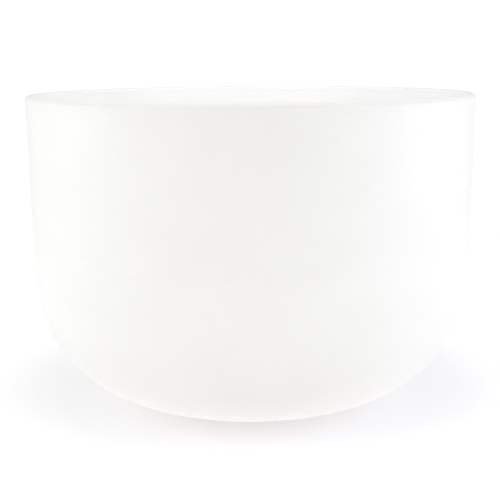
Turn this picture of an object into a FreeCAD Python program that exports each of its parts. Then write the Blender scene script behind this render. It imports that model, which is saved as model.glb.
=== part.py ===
import FreeCAD, Part
import math
import os

# Frosted quartz singing bowl standing on a rubber O-ring.
# Millimetres. The bowl's axis is +Z through the origin and the floor is z = 0.

# ---- driving dimensions -------------------------------------------------
RIM_RADIUS = 152.5       # outside radius of the mouth
BOWL_HEIGHT = 212.3      # ground foot to the top of the lip
WALL = 5.8               # full wall thickness
LINING = 2.2             # clear glassy layer on the inside of the wall
WALL_TAPER = 0.47        # degrees each side, the wall draws in going down
SHOULDER_RADIUS = 288.0  # slow curve under the straight wall
SHOULDER_SLOPE = 83.1    # degrees from level where the slow curve ends
CORNER_RADIUS = 82.0     # tight curve from the wall round to the base
CROWN_SLOPE = 8.0        # degrees from level where the tight curve ends outside
FLOOR_SLOPE = 4.5        # the same inside: less, so the base is the thicker part
FOOT_RADIUS = 29.0       # small flat ground on the base
LIP_HEIGHT = 4.6         # polished band at the top, rounding included

RING_SECTION = 8.0       # diameter of the O-ring's round section
RING_RADIUS = 42.0       # centre line of the O-ring
RING_SINK = 0.3          # how far the O-ring's underside is worn flat
SEAT_GAP = 0.25          # clearance between the bowl and its O-ring

ORIGIN = FreeCAD.Vector(0, 0, 0)
UP = FreeCAD.Vector(0, 0, 1)


def rad(degrees):
    return degrees * math.pi / 180.0


def vec(r, z):
    return FreeCAD.Vector(r, 0, z)


# ---- the bowl's outline, worked up from the axis ------------------------
# Slopes are measured from level, so an arc about (cr, cz) with radius q
# passes through (cr + q sin s, cz - q cos s).
WALL_SLOPE = 90.0 - WALL_TAPER


def on_arc(centre, radius, slope):
    s = rad(slope)
    return (centre[0] + radius * math.sin(s), centre[1] - radius * math.cos(s))


def arc_centres():
    """Centres of the corner and shoulder arcs and the outside crown radius."""
    top = rad(WALL_SLOPE)
    shoulder = rad(SHOULDER_SLOPE)
    crown = rad(CROWN_SLOPE)
    crown_radius = 2.5 * RIM_RADIUS
    for _ in range(80):
        foot_drop = math.sqrt(crown_radius ** 2 - FOOT_RADIUS ** 2)
        corner_z = foot_drop - (crown_radius - CORNER_RADIUS) * math.cos(crown)
        extra = SHOULDER_RADIUS - CORNER_RADIUS
        wall_z = corner_z + extra * math.cos(shoulder) - SHOULDER_RADIUS * math.cos(top)
        wall_r = RIM_RADIUS - (BOWL_HEIGHT - WALL / 2 - wall_z) * math.tan(rad(WALL_TAPER))
        corner_r = wall_r + extra * math.sin(shoulder) - SHOULDER_RADIUS * math.sin(top)
        crown_radius = CORNER_RADIUS + corner_r / math.sin(crown)
    corner = (corner_r, corner_z)
    shoulder_centre = (corner_r - extra * math.sin(shoulder),
                       corner_z + extra * math.cos(shoulder))
    return corner, shoulder_centre, crown_radius


CORNER, SHOULDER, CROWN_RADIUS = arc_centres()
CROWN_Z = math.sqrt(CROWN_RADIUS ** 2 - FOOT_RADIUS ** 2)
LIP_Z = BOWL_HEIGHT - LIP_HEIGHT

# Height the whole bowl stands at: the crown rides on the O-ring's round top.
RING_Z = RING_SECTION / 2 - RING_SINK
SEAT_REACH = CROWN_RADIUS + SEAT_GAP + RING_SECTION / 2
BOWL_Z = RING_Z + math.sqrt(SEAT_REACH ** 2 - RING_RADIUS ** 2) - CROWN_Z


def wall_radius(inset, z):
    """Radius of the straight wall at height z, a depth inset into the wall."""
    lean = rad(WALL_TAPER)
    outside = RIM_RADIUS - (BOWL_HEIGHT - WALL / 2 - z) * math.tan(lean)
    return outside - inset / math.cos(lean)


def arc_edge(centre, radius, slope_a, slope_b):
    ends = [vec(*on_arc(centre, radius, s)) for s in (slope_a, (slope_a + slope_b) / 2, slope_b)]
    return Part.Arc(*ends).toShape()


def skin_edges(inset, base_slope):
    """Edges of one skin from the axis (or foot) to the underside of the lip."""
    q_corner = CORNER_RADIUS - inset
    q_shoulder = SHOULDER_RADIUS - inset
    edges = []
    if inset == 0:
        start = math.degrees(math.asin(FOOT_RADIUS / CROWN_RADIUS))
        edges.append(Part.makeLine(vec(0, 0), vec(FOOT_RADIUS, 0)))
        edges.append(arc_edge((0, CROWN_Z), CROWN_RADIUS, start, base_slope))
    else:
        reach = CORNER[0] / math.sin(rad(base_slope))
        centre = (0, CORNER[1] + reach * math.cos(rad(base_slope)))
        edges.append(arc_edge(centre, reach + q_corner, 0, base_slope))
    edges.append(arc_edge(CORNER, q_corner, base_slope, SHOULDER_SLOPE))
    edges.append(arc_edge(SHOULDER, q_shoulder, SHOULDER_SLOPE, WALL_SLOPE))
    wall_start = vec(*on_arc(SHOULDER, q_shoulder, WALL_SLOPE))
    edges.append(Part.makeLine(wall_start, vec(wall_radius(inset, LIP_Z), LIP_Z)))
    return edges


def ends_of(edges):
    first = edges[0].valueAt(edges[0].FirstParameter)
    last = edges[-1].valueAt(edges[-1].LastParameter)
    return first, last


def revolve(edges):
    wire = Part.Wire(Part.sortEdges(edges)[0])
    return Part.Face(wire).revolve(ORIGIN, UP, 360)


def layer(outer, inner):
    """Solid between two skins, closed on the axis and under the lip."""
    outer_axis, outer_top = ends_of(outer)
    inner_axis, inner_top = ends_of(inner)
    caps = [Part.makeLine(outer_axis, inner_axis), Part.makeLine(outer_top, inner_top)]
    return revolve(outer + inner + caps)


def lip():
    """Polished band: the last of the wall with a full round over the top."""
    half = WALL / 2
    lean = rad(WALL_TAPER)
    round_z = BOWL_HEIGHT - half
    middle = (wall_radius(half, round_z), round_z)
    outside = vec(middle[0] + half * math.cos(lean), middle[1] - half * math.sin(lean))
    inside = vec(middle[0] - half * math.cos(lean), middle[1] + half * math.sin(lean))
    low_out = vec(wall_radius(0, LIP_Z), LIP_Z)
    low_in = vec(wall_radius(WALL, LIP_Z), LIP_Z)
    # the round is a half circle about (middle), drawn as two quarters
    crest = vec(*on_arc(middle, half, 180))
    shoulder_out = vec(*on_arc(middle, half, 135))
    shoulder_in = vec(*on_arc(middle, half, 225))
    return revolve([
        Part.makeLine(low_in, low_out),
        Part.makeLine(low_out, outside),
        Part.Arc(outside, shoulder_out, crest).toShape(),
        Part.Arc(crest, shoulder_in, inside).toShape(),
        Part.makeLine(inside, low_in),
    ])


def o_ring():
    """Round-section ring with the part below the floor taken off."""
    half = RING_SECTION / 2
    flat = math.sqrt(half ** 2 - RING_Z ** 2)
    left = vec(RING_RADIUS - flat, 0)
    right = vec(RING_RADIUS + flat, 0)
    middle = (RING_RADIUS, RING_Z)
    top = vec(*on_arc(middle, half, 180))
    return revolve([
        Part.makeLine(left, right),
        Part.Arc(right, vec(*on_arc(middle, half, 90)), top).toShape(),
        Part.Arc(top, vec(*on_arc(middle, half, 270)), left).toShape(),
    ])


outside_skin = skin_edges(0, CROWN_SLOPE)
middle_skin = skin_edges(WALL - LINING, FLOOR_SLOPE)
inside_skin = skin_edges(WALL, FLOOR_SLOPE)

lift = FreeCAD.Vector(0, 0, BOWL_Z)
parts = {
    "frosted_shell": layer(outside_skin, middle_skin).translated(lift),
    "clear_lining": layer(middle_skin, inside_skin).translated(lift),
    "polished_lip": lip().translated(lift),
    "support_ring": o_ring(),
}

os.makedirs("parts", exist_ok=True)
for name, shape in parts.items():
    shape.exportStep("parts/" + name + ".step")
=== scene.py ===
import math

import bpy
import numpy as np
from mathutils import Euler, Matrix, Vector, noise


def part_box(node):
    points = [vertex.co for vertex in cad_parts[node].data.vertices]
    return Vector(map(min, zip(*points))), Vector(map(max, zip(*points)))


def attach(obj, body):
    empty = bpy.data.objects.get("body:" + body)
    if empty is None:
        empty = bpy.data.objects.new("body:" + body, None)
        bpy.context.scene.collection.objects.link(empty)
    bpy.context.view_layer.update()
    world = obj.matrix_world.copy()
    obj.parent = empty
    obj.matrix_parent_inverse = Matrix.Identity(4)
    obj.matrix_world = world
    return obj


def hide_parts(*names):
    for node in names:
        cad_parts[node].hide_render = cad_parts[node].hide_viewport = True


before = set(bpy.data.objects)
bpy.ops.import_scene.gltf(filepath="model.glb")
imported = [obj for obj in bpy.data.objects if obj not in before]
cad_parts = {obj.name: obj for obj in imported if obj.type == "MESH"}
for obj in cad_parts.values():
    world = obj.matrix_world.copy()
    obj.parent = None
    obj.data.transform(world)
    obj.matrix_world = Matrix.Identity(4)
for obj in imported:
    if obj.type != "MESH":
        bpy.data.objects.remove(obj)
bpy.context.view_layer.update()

# Frosted quartz singing bowl on a silicone ring. Metres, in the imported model's frame.

# ---- sizes taken from the frame -----------------------------------------
lip_low, lip_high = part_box("polished_lip")
shell_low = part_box("frosted_shell")[0]
ring_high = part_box("support_ring")[1]
RIM = (lip_high.x - lip_low.x) / 2
TOP = lip_high.z
LIP_Z = lip_low.z
FOOT_Z = shell_low.z
RING_OUT = ring_high.x
RING_TOP = ring_high.z

# ---- driving sizes of the bowl's section --------------------------------
WALL = 0.0058
LINING = 0.0022
TAPER = math.radians(0.47)
SHOULDER_R = 0.288
SHOULDER_SLOPE = math.radians(83.1)
CORNER_R = 0.082
CROWN_SLOPE = math.radians(8.0)
FLOOR_SLOPE = math.radians(4.5)
FOOT_R = 0.029
RING_SECTION = 0.008
WALL_SLOPE = math.pi / 2 - TAPER

# ---- how finely it is drawn ----------------------------------------------
TURNS = 400              # vertices round each revolved piece and the floor
FINE = 0.00175           # spacing of points along a shown skin
COARSE = 0.012           # and along a hidden one
SHARP = math.radians(35) # an edge that turns more than this is drawn crisp
TINY = 1e-9              # shorter than this is nothing


# ---- the bowl's section --------------------------------------------------
# Slopes are measured from level. A section is a list of (radius, height).
def on_arc(centre, radius, slope):
    return (centre[0] + radius * math.sin(slope), centre[1] - radius * math.cos(slope))


def section_centres():
    """Corner and shoulder arc centres and the crown radius, with the foot's plane at FOOT_Z."""
    height = TOP - FOOT_Z
    extra = SHOULDER_R - CORNER_R
    crown_r = 2.5 * RIM      # a first guess, which the rounds below settle
    rounds_to_settle = 80
    for _ in range(rounds_to_settle):
        drop = math.sqrt(crown_r ** 2 - FOOT_R ** 2)
        corner_z = drop - (crown_r - CORNER_R) * math.cos(CROWN_SLOPE)
        wall_z = corner_z + extra * math.cos(SHOULDER_SLOPE) - SHOULDER_R * math.cos(WALL_SLOPE)
        wall_r = RIM - (height - WALL / 2 - wall_z) * math.tan(TAPER)
        corner_r = wall_r + extra * math.sin(SHOULDER_SLOPE) - SHOULDER_R * math.sin(WALL_SLOPE)
        crown_r = CORNER_R + corner_r / math.sin(CROWN_SLOPE)
    corner = (corner_r, FOOT_Z + corner_z)
    shoulder = (corner_r - extra * math.sin(SHOULDER_SLOPE),
                corner[1] + extra * math.cos(SHOULDER_SLOPE))
    return corner, shoulder, crown_r


CORNER, SHOULDER, CROWN_R = section_centres()


def wall_radius(inset, z):
    """Radius of the straight wall at height z, a depth inset into the wall."""
    return RIM - (TOP - WALL / 2 - z) * math.tan(TAPER) - inset / math.cos(TAPER)


def sweep(centre, radius, start, end, step):
    """Points along an arc, the first one left out."""
    count = max(2, round(radius * abs(end - start) / step))
    return [on_arc(centre, radius, start + (end - start) * k / count) for k in range(1, count + 1)]


def run(start, end, step):
    """Points along a straight line, the first one left out."""
    count = max(1, round(math.dist(start, end) / step))
    return [(start[0] + (end[0] - start[0]) * k / count, start[1] + (end[1] - start[1]) * k / count)
            for k in range(1, count + 1)]


def skin(inset, base_slope, step):
    """One skin of the bowl from the axis up to the underside of the lip."""
    if inset == 0:
        foot_slope = math.asin(FOOT_R / CROWN_R)
        crown_centre = (0.0, FOOT_Z + math.sqrt(CROWN_R ** 2 - FOOT_R ** 2))
        points = [(0.0, FOOT_Z)]
        points += run((0.0, FOOT_Z), (FOOT_R, FOOT_Z), step)
        points += sweep(crown_centre, CROWN_R, foot_slope, base_slope, step)
    else:
        reach = CORNER[0] / math.sin(base_slope)
        crown_centre = (0.0, CORNER[1] + reach * math.cos(base_slope))
        crown_r = reach + CORNER_R - inset
        points = [on_arc(crown_centre, crown_r, 0.0)]
        points += sweep(crown_centre, crown_r, 0.0, base_slope, step)
    points += sweep(CORNER, CORNER_R - inset, base_slope, SHOULDER_SLOPE, step)
    points += sweep(SHOULDER, SHOULDER_R - inset, SHOULDER_SLOPE, WALL_SLOPE, step)
    points += run(points[-1], (wall_radius(inset, LIP_Z), LIP_Z), step)
    return points


def lip_section():
    """The last of the wall, with a full round over the top."""
    wall_step = 0.0006
    round_step = 0.0004
    half = WALL / 2
    centre = (wall_radius(half, TOP - half), TOP - half)
    low_out = (wall_radius(0, LIP_Z), LIP_Z)
    low_in = (wall_radius(WALL, LIP_Z), LIP_Z)
    points = [low_out]
    points += run(low_out, on_arc(centre, half, WALL_SLOPE), wall_step)
    points += sweep(centre, half, WALL_SLOPE, WALL_SLOPE + math.pi, round_step)
    points += run(points[-1], low_in, wall_step)
    points += run(low_in, low_out, 2 * wall_step)[:-1]
    return points


def ring_section():
    """Round section, flat underneath, with the two thin flash lines that a two-part mould leaves."""
    steps = 72
    flash = 0.00008
    flash_edge = (0.03, 0.09)      # radians from the mould's parting plane
    half = RING_SECTION / 2
    centre = (RING_OUT - half, RING_TOP - half)
    flat = math.sqrt(half ** 2 - centre[1] ** 2)
    start = math.atan2(flat, centre[1])
    points = [(centre[0] - flat, 0.0), (centre[0] + flat, 0.0)]
    for k in range(1, steps):
        slope = start + (2 * math.pi - 2 * start) * k / steps
        off = min(abs(slope - math.pi / 2), abs(slope - 3 * math.pi / 2))
        points.append(on_arc(centre, half - flash * smooth(off, *flash_edge), slope))
    return points


# ---- surface relief ------------------------------------------------------
# Each wave: its mean depth, how many there are to a metre across and up, and where its pattern starts.
CAST_WAVES = (
    (0.00009, 14, 26, (0, 0, 0)),      # slow swells
    (0.00004, 45, 110, (0, 0, 7)),     # flat ripples
    (0.00002, 190, 190, (0, 0, 0)),    # the pebble of the mould's sand
)
MELT_WAVES = (
    (0.00012, 16, 30, (3, 0, 0)),
    (0.00004, 40, 70, (0, 5, 0)),
)
LIP_CALM = 0.010         # the relief dies out this far under the lip
FOOT_CALM = 0.012        # and this far round the ground foot


def smooth(x, low, high):
    t = min(1.0, max(0.0, (x - low) / (high - low)))
    return t * t * (3 - 2 * t)


def relief(p, waves):
    """Depth into the wall at a point, never outwards, and nothing at the lip."""
    depth = 0
    for mean, across, up, begin in waves:
        where = (p.x * across + begin[0], p.y * across + begin[1], p.z * up + begin[2])
        depth += mean * (noise.noise(Vector(where)) + 1)
    return depth * (1 - smooth(p.z, LIP_Z - LIP_CALM, LIP_Z))


def cast_relief(p):
    """The frosted outside, calm round the ground foot."""
    return relief(p, CAST_WAVES) * smooth(math.hypot(p.x, p.y), FOOT_R, FOOT_R + FOOT_CALM)


def melt_relief(p):
    """The fire-polished inside."""
    return relief(p, MELT_WAVES)


# ---- turning a section into a piece ---------------------------------------
def rough(points):
    """The same points, marked as ones that take the relief."""
    return [(r, z, 1) for r, z in points]


def unit(vectors):
    return vectors / np.maximum(np.linalg.norm(vectors, axis=1), TINY)[:, None]


def outward_normals(section):
    """The way out of the solid at each point of a closed section."""
    ahead = unit(np.roll(section, -1, axis=0) - section)
    behind = unit(section - np.roll(section, 1, axis=0))
    return [(float(v[1]), float(-v[0])) for v in unit(ahead + behind)]


def faces_between(rows):
    """Faces from each row of vertices to the next. A row on the axis is a single vertex."""
    faces = []
    for low, high in zip(rows, rows[1:] + rows[:1]):
        if len(low) == 1 and len(high) == 1:
            continue
        for t in range(TURNS):
            u = (t + 1) % TURNS
            if len(low) == 1:
                faces.append((low[0], high[u], high[t]))
            elif len(high) == 1:
                faces.append((low[t], low[u], high[0]))
            else:
                faces.append((low[t], low[u], high[u], high[t]))
    return faces


def lathe(name, profile, depth=None):
    """Closed solid turned from a section, which runs anticlockwise seen with the radius to the right.
    depth(point) is how far the points that rough() marks sink into the solid."""
    section = np.array([point[:2] for point in profile])
    marked = [len(point) > 2 for point in profile]
    outward = outward_normals(section)
    verts = []
    rows = []
    for k, (r, z) in enumerate(section.tolist()):
        if r < TINY:
            rows.append([len(verts)])
            verts.append((0.0, 0.0, z))
            continue
        row = []
        for t in range(TURNS):
            a = 2 * math.pi * t / TURNS
            p = Vector((r * math.cos(a), r * math.sin(a), z))
            if depth and marked[k]:
                out_r, out_z = outward[k]
                p -= Vector((out_r * math.cos(a), out_r * math.sin(a), out_z)) * depth(p)
            row.append(len(verts))
            verts.append(tuple(p))
        rows.append(row)
    mesh = bpy.data.meshes.new(name)
    mesh.from_pydata(verts, [], faces_between(rows))
    mesh.validate()
    mesh.shade_smooth()
    mesh.set_sharp_from_angle(angle=SHARP)
    return show(name, mesh)


def show(name, data):
    """A new object in the scene."""
    obj = bpy.data.objects.new(name, data)
    bpy.context.scene.collection.objects.link(obj)
    return obj


# ---- node helpers ----------------------------------------------------------
MIX_FACTOR, MIX_A, MIX_B, MIX_OUT = 0, 6, 7, 2     # a Mix node's sockets for colours


class Nodes:
    """A short way to write a node tree. A pattern's scale is roughly how often it repeats in a metre."""

    def __init__(self, tree):
        self.tree = tree
        self.coords = self.add("ShaderNodeTexCoord").outputs
        self.place = self.coords["Object"]

    def add(self, kind, settings=(), **inputs):
        node = self.tree.nodes.new(kind)
        for key, value in dict(settings).items():
            setattr(node, key, value)
        for key, value in inputs.items():
            self.feed(node, key.replace("_", " "), value)
        return node

    def feed(self, node, key, value):
        """Link a socket to the node's input, or set the input to a number."""
        if isinstance(value, bpy.types.NodeSocket):
            self.tree.links.new(value, node.inputs[key])
        else:
            node.inputs[key].default_value = value

    def calculate(self, kind, operation, output, values):
        node = self.add(kind, {"operation": operation})
        for k, value in enumerate(values):
            self.feed(node, k, value)
        return node.outputs[output]

    def math(self, operation, *values):
        return self.calculate("ShaderNodeMath", operation, "Value", values)

    def vector_math(self, operation, *values):
        """A vector operation whose result is a number."""
        return self.calculate("ShaderNodeVectorMath", operation, "Value", values)

    def height(self):
        return self.add("ShaderNodeSeparateXYZ", Vector=self.place).outputs["Z"]

    def stretch(self, across, up, turn=0.0, rise=0.0):
        node = self.add("ShaderNodeMapping", Vector=self.place)
        node.inputs["Scale"].default_value = (across, across, up)
        node.inputs["Rotation"].default_value = (0, 0, turn)
        node.inputs["Location"].default_value = (0, 0, rise)
        return node.outputs["Vector"]

    def cloud(self, where, scale=1.0, detail=3.0, roughness=0.5):
        node = self.add("ShaderNodeTexNoise", Vector=where, Scale=scale, Detail=detail, Roughness=roughness)
        return node.outputs["Fac"]

    def cells(self, scale):
        return self.add("ShaderNodeTexVoronoi", Vector=self.place, Scale=scale).outputs["Distance"]

    def spread(self, value, low, high, to_low=0.0, to_high=1.0, easing="LINEAR"):
        """The range from low to high turned into the range from to_low to to_high, and no further."""
        node = self.add("ShaderNodeMapRange", {"clamp": True, "interpolation_type": easing}, Value=value)
        for key, number in (("From Min", low), ("From Max", high), ("To Min", to_low), ("To Max", to_high)):
            node.inputs[key].default_value = number
        return node.outputs["Result"]

    def mix(self, factor, a, b):
        node = self.add("ShaderNodeMix", {"data_type": "RGBA"})
        for key, value in ((MIX_FACTOR, factor), (MIX_A, a), (MIX_B, b)):
            self.feed(node, key, value)
        return node.outputs[MIX_OUT]


class Surface(Nodes):
    """A material with one Principled shader."""

    def __init__(self, name):
        self.material = bpy.data.materials.new(name)
        self.material.use_nodes = True
        super().__init__(self.material.node_tree)
        self.shader = self.tree.nodes["Principled BSDF"]

    def set(self, **values):
        for key, value in values.items():
            self.feed(self.shader, key.replace("_", " "), value)

    def bump(self, height, distance, strength):
        node = self.add("ShaderNodeBump", Height=height, Distance=distance, Strength=strength)
        self.tree.links.new(node.outputs["Normal"], self.shader.inputs["Normal"])


# ---- materials -------------------------------------------------------------
QUARTZ_IOR = 1.46
SILICONE_IOR = 1.41
SCUFFED = (LIP_Z - 0.0045, LIP_Z - 0.0005)         # heights where the grinding's scuffs begin and are full
INWARD = (RIM - 0.0038, RIM - 0.0052)              # radii where the lip's outside ends and its inside begins
CREST_SHADE_HEIGHTS = (TOP - 0.0034, TOP - 0.0016)                # heights where the painted shade over the lip's top begins and is full


def frosted_quartz():
    """White, full of tiny bubbles: fine grain, sand pits, soft clouds, short level streaks, and a
    mottled line under the lip where the grinding stopped."""
    dull, pale = (0.745, 0.737, 0.695, 1), (0.758, 0.750, 0.708, 1)
    streak, speck = (0.722, 0.714, 0.672, 1), (0.714, 0.706, 0.664, 1)
    ground, pit = (0.712, 0.704, 0.662, 1), (0.710, 0.702, 0.660, 1)
    m = Surface("frosted_quartz")
    grain = m.cloud(m.place, 1100.0, 2.0)
    pits = m.cells(420.0)
    clouds = m.cloud(m.stretch(26, 34, turn=-0.66, rise=-0.48), detail=4.0, roughness=0.55)
    patches = m.cloud(m.stretch(9, 15), detail=2.0)
    streaks = m.cloud(m.stretch(95, 620), roughness=0.6)
    mottled = m.mix(m.spread(clouds, 0.36, 0.64), dull, pale)
    shown = m.math("MULTIPLY", m.spread(streaks, 0.52, 0.72), m.spread(patches, 0.44, 0.64, 0.02, 0.5))
    streaked = m.mix(shown, mottled, streak)
    speckled = m.mix(m.spread(grain, 0.35, 0.65, 0.2, 0), streaked, speck)
    near_lip = m.spread(m.height(), *SCUFFED)
    scuffs = m.spread(m.cloud(m.place, 420.0, 2.0), 0.35, 0.65, 0.0, 0.45)
    edged = m.mix(m.math("MULTIPLY", near_lip, scuffs), speckled, ground)
    m.set(Base_Color=m.mix(m.spread(pits, 0.0, 0.22, 0.25, 0), edged, pit))
    m.set(Roughness=m.spread(grain, 0.3, 0.7, 0.36, 0.48), IOR=QUARTZ_IOR)
    m.bump(m.math("ADD", m.math("MULTIPLY", grain, 0.6), m.spread(pits, 0.0, 0.3, 0, 0.6)), 0.00006, 0.5)
    return m.material


def clear_quartz():
    """Fire-polished glass over white: bright, smooth, with a few bubbles under the surface."""
    dull, pale, bubble = (0.898, 0.893, 0.877, 1), (0.916, 0.911, 0.897, 1), (0.868, 0.862, 0.845, 1)
    m = Surface("clear_quartz")
    drift = m.cloud(m.stretch(12, 30), detail=4.0)
    glass = m.mix(m.spread(drift, 0.35, 0.65), dull, pale)
    m.set(Base_Color=m.mix(m.spread(m.cells(300.0), 0.0, 0.16, 0.5, 0), glass, bubble))
    m.set(Roughness=m.spread(drift, 0.3, 0.7, 0.34, 0.46), IOR=QUARTZ_IOR)
    m.set(Coat_Weight=0.6, Coat_Roughness=0.12, Coat_IOR=QUARTZ_IOR)
    m.bump(m.cloud(m.place, 60.0, 2.0), 0.0002, 0.4)
    return m.material


def polished_quartz():
    """Ground smooth: the wall's white outside, brighter inside, and greyer over the top of the round:
    painted shade where the lip faces up towards the light.
    """
    # The two darker colours for the top of the round, outside and inside, are painted shade where the lip
    # faces the light above.
    dull, pale, painted_crest_shade = (0.735, 0.728, 0.688, 1), (0.750, 0.742, 0.703, 1), (0.690, 0.682, 0.650, 1)
    inner_wall, painted_inner_crest_shade = (0.885, 0.879, 0.862, 1), (0.810, 0.804, 0.786, 1)
    scratch = (0.76, 0.754, 0.736, 1)
    m = Surface("polished_quartz")
    grind = m.cloud(m.stretch(40, 2600), detail=2.0)
    drift = m.cloud(m.place, 60.0)
    inward = m.spread(m.vector_math("LENGTH", m.stretch(1, 0)), *INWARD)
    # Painted shade: the lip is darkened from 3.4 mm under its top, fully from 1.6 mm, outside and inside.
    over = m.spread(m.height(), *CREST_SHADE_HEIGHTS)
    outside = m.mix(over, m.mix(m.spread(drift, 0.35, 0.65), dull, pale), painted_crest_shade)
    inside = m.mix(over, inner_wall, painted_inner_crest_shade)
    m.set(Base_Color=m.mix(m.spread(grind, 0.58, 0.75, 0, 0.25), m.mix(inward, outside, inside), scratch))
    m.set(Roughness=m.spread(grind, 0.3, 0.7, 0.42, 0.54), IOR=QUARTZ_IOR)
    m.bump(grind, 0.00002, 0.5)
    return m.material


def silicone():
    """Milky rubber with a little dust on it."""
    dull, pale, dusty = (0.60, 0.60, 0.58, 1), (0.66, 0.66, 0.645, 1), (0.76, 0.76, 0.75, 1)
    m = Surface("silicone")
    dust = m.cloud(m.place, 700.0, 2.0)
    drift = m.cloud(m.place, 80.0)
    rubber = m.mix(m.spread(drift, 0.3, 0.7), dull, pale)
    m.set(Base_Color=m.mix(m.spread(dust, 0.6, 0.75, 0, 0.5), rubber, dusty))
    m.set(Roughness=m.spread(dust, 0.3, 0.7, 0.45, 0.62), IOR=SILICONE_IOR)
    m.bump(dust, 0.00004, 0.6)
    return m.material


# ---- the bowl and its ring -------------------------------------------------
outer = skin(0, CROWN_SLOPE, FINE)
middle = skin(WALL - LINING, FLOOR_SLOPE, COARSE)
inner = skin(WALL, FLOOR_SLOPE, FINE)

shell = lathe("frosted_shell_skin", rough(outer) + middle[::-1], cast_relief)
lining = lathe("clear_lining_skin", middle + rough(inner[::-1]), melt_relief)
lip = lathe("polished_lip_band", lip_section())
ring = lathe("support_ring_rubber", ring_section())

for piece, node, body, material, slot in (
    (shell, "frosted_shell", "bowl", frosted_quartz(), "frosted_quartz"),
    (lining, "clear_lining", "bowl", clear_quartz(), "clear_quartz"),
    (lip, "polished_lip", "bowl", polished_quartz(), "polished_quartz"),
    (ring, "support_ring", "ring", silicone(), "silicone"),
):
    piece.data.materials.append(material)
    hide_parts(node)
    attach(piece, body)

# ---- floor -----------------------------------------------------------------
FLOOR_R = 5 * RIM
FLOOR_WHITE = (0.888, 0.888, 0.897, 1)
GLOW_TINT = (1, 0.96, 1, 1)
GLOW = ((0.0, 0.187), (1.0, 0.03), (1.5, 0.09))    # distance from the axis in rim radii, and the floor's painted glow there
BOUNCE = 0.4             # extra glow near the foot that lights the bowl and isn't seen itself
BOUNCE_FADE = (0.6, 1.15)                          # it fades out between these, in rim radii


def floor_material():
    """Pale, with a painted glow in its own emission: least under the rim, where the bowl's shadow falls,
    more out in the open, and more again under the bowl, a painted pool of light that stands in for light the
    bowl lets through."""
    m = Surface("floor")
    m.set(Base_Color=FLOOR_WHITE, Roughness=0.9, Specular_IOR_Level=0.1)
    distance = m.vector_math("LENGTH", m.place)
    (_, under), (edge, least), (reach, beyond) = GLOW
    # Painted light: the floor's glow, graded by distance from the bowl's axis, shapes the pool under the
    # bowl and its shadow.
    ramp = m.add("ShaderNodeValToRGB", Fac=m.math("DIVIDE", distance, reach * RIM))
    ramp.color_ramp.interpolation = "EASE"
    stops = ramp.color_ramp.elements
    stops.new(edge / reach)
    for stop, level in zip(stops, (under, least, beyond)):
        stop.color = (level, level, level, 1)
    seen = m.add("ShaderNodeLightPath").outputs["Is Camera Ray"]
    unseen = m.math("SUBTRACT", BOUNCE, m.math("MULTIPLY", seen, BOUNCE))
    fade = m.spread(distance, BOUNCE_FADE[0] * RIM, BOUNCE_FADE[1] * RIM, 1, 0)
    glow = m.math("MULTIPLY_ADD", unseen, fade, ramp.outputs["Color"])
    m.set(Emission_Color=GLOW_TINT, Emission_Strength=glow)
    return m.material


def floor():
    """A round sheet."""
    angles = [2 * math.pi * t / TURNS for t in range(TURNS)]
    mesh = bpy.data.meshes.new("floor")
    mesh.from_pydata([(FLOOR_R * math.cos(a), FLOOR_R * math.sin(a), 0) for a in angles], [], [range(TURNS)])
    mesh.materials.append(floor_material())
    show("floor", mesh)


floor()

# ---- light -----------------------------------------------------------------
TENT = 1.008             # brightness of the white tent round the bowl
FRONT_DIP = 0.79         # how much of that it loses towards the camera
BACK_DIP = 0.4           # the share that it loses behind the bowl
# Each dip begins at the first cosine of the angle from the camera's side and is full at the second.
FRONT_EDGE = (0.7, 0.97)
BACK_EDGE = (-0.6, -0.95)
BACKDROP = 1.1           # brightness of the plain white that the camera sees
WHITE = (1, 1, 1, 1)
MIDDLE = (0, 0, (TOP + FOOT_Z) / 2 / RIM)          # the middle of the bowl, in rim radii
LOW_SIZE = (5.25, 1.31)                            # softboxes' widths and heights, in rim radii
FRONT_SIZE = (5.9, 5.9)

scene = bpy.context.scene
scene.view_settings.view_transform = "Standard"
scene.view_settings.look = "None"


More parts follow.
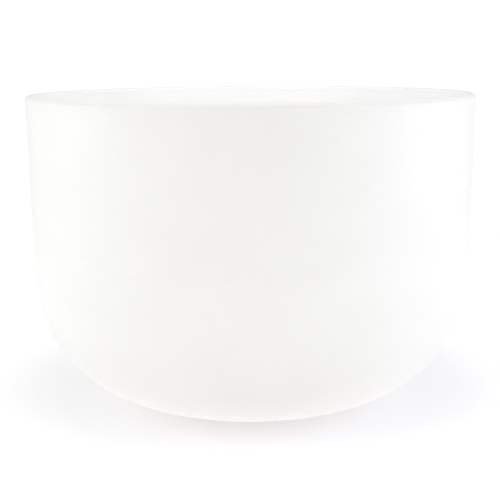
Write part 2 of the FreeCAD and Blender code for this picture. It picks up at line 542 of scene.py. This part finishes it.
def studio_world():
    """A white tent round the bowl, dimmer in front and behind; the camera itself sees plain white."""
    world = bpy.data.worlds.new("studio")
    world.use_nodes = True
    w = Nodes(world.node_tree)
    frontward = w.vector_math("DOT_PRODUCT", w.coords["Generated"], (0, -1, 0))
    front = w.spread(frontward, *FRONT_EDGE, TENT, TENT - FRONT_DIP, "SMOOTHSTEP")
    back = w.spread(frontward, *BACK_EDGE, 1, 1 - BACK_DIP, "SMOOTHSTEP")
    tent = w.add("ShaderNodeBackground", Color=WHITE, Strength=w.math("MULTIPLY", front, back))
    backdrop = w.tree.nodes["Background"]
    w.feed(backdrop, "Color", WHITE)
    w.feed(backdrop, "Strength", BACKDROP)
    seen = w.add("ShaderNodeLightPath").outputs["Is Camera Ray"]
    either = w.add("ShaderNodeMixShader")
    for key, socket in enumerate((seen, tent.outputs[0], backdrop.outputs[0])):
        w.feed(either, key, socket)
    w.feed(w.tree.nodes["World Output"], "Surface", either.outputs[0])
    scene.world = world


def softbox(name, at, size, power, colour=(1, 1, 1), aim=MIDDLE, beam=180):
    """A rectangular light. Its place, size and aim are in rim radii. A grid over it can narrow its
    beam, in degrees."""
    data = bpy.data.lights.new(name, "AREA")
    data.shape = "RECTANGLE"
    data.size = size[0] * RIM
    data.size_y = size[1] * RIM
    data.energy = power
    data.color = colour
    data.spread = math.radians(beam)
    obj = show(name, data)
    obj.location = Vector(at) * RIM
    ahead = Vector(aim) * RIM - obj.location
    obj.rotation_euler = ahead.to_track_quat("-Z", "Y").to_euler()
    obj.visible_camera = False


studio_world()
softbox("left_low_box", (-8, -1, 0.9), LOW_SIZE, 2.0, (0.69, 0.82, 1.0))
softbox("left_front_box", (-7, -6, 5), FRONT_SIZE, 5.8, (0.98, 0.94, 0.96))
softbox("right_low_box", (8, -1, 0.9), LOW_SIZE, 2.4, (0.79, 0.81, 1.0))
softbox("right_front_box", (7, -6, 5), FRONT_SIZE, 6.7, (0.81, 0.84, 0.965))
softbox("top_box", (0, -1.1, 4.4), (1.97, 1.97), 0.33)
softbox("mouth_box", (0, -1.1, 4.4), (0.5, 0.5), 0.0055, aim=(0, 1, 1.35), beam=30)

# ---- camera ----------------------------------------------------------------
DISTANCE = 4.4 * RIM     # level distance from the bowl's axis
ASIDE = -0.006 * RIM     # and a little to its left
ABOVE_RIM = 0.162 * RIM
DOWN = math.radians(11.456)
ROLL = math.radians(-0.38)
FIELD = 0.5224           # picture width over distance along the lens axis
SENSOR = 36.0

camera_data = bpy.data.cameras.new("camera")
camera_data.sensor_width = SENSOR
camera_data.lens = SENSOR / FIELD
camera_data.dof.use_dof = False
camera = show("camera", camera_data)
camera.location = (ASIDE, -DISTANCE, TOP + ABOVE_RIM)
tilt = Euler((math.pi / 2 - DOWN, 0, 0)).to_matrix()
camera.rotation_euler = (tilt @ Matrix.Rotation(ROLL, 3, "Z")).to_euler()
scene.camera = camera
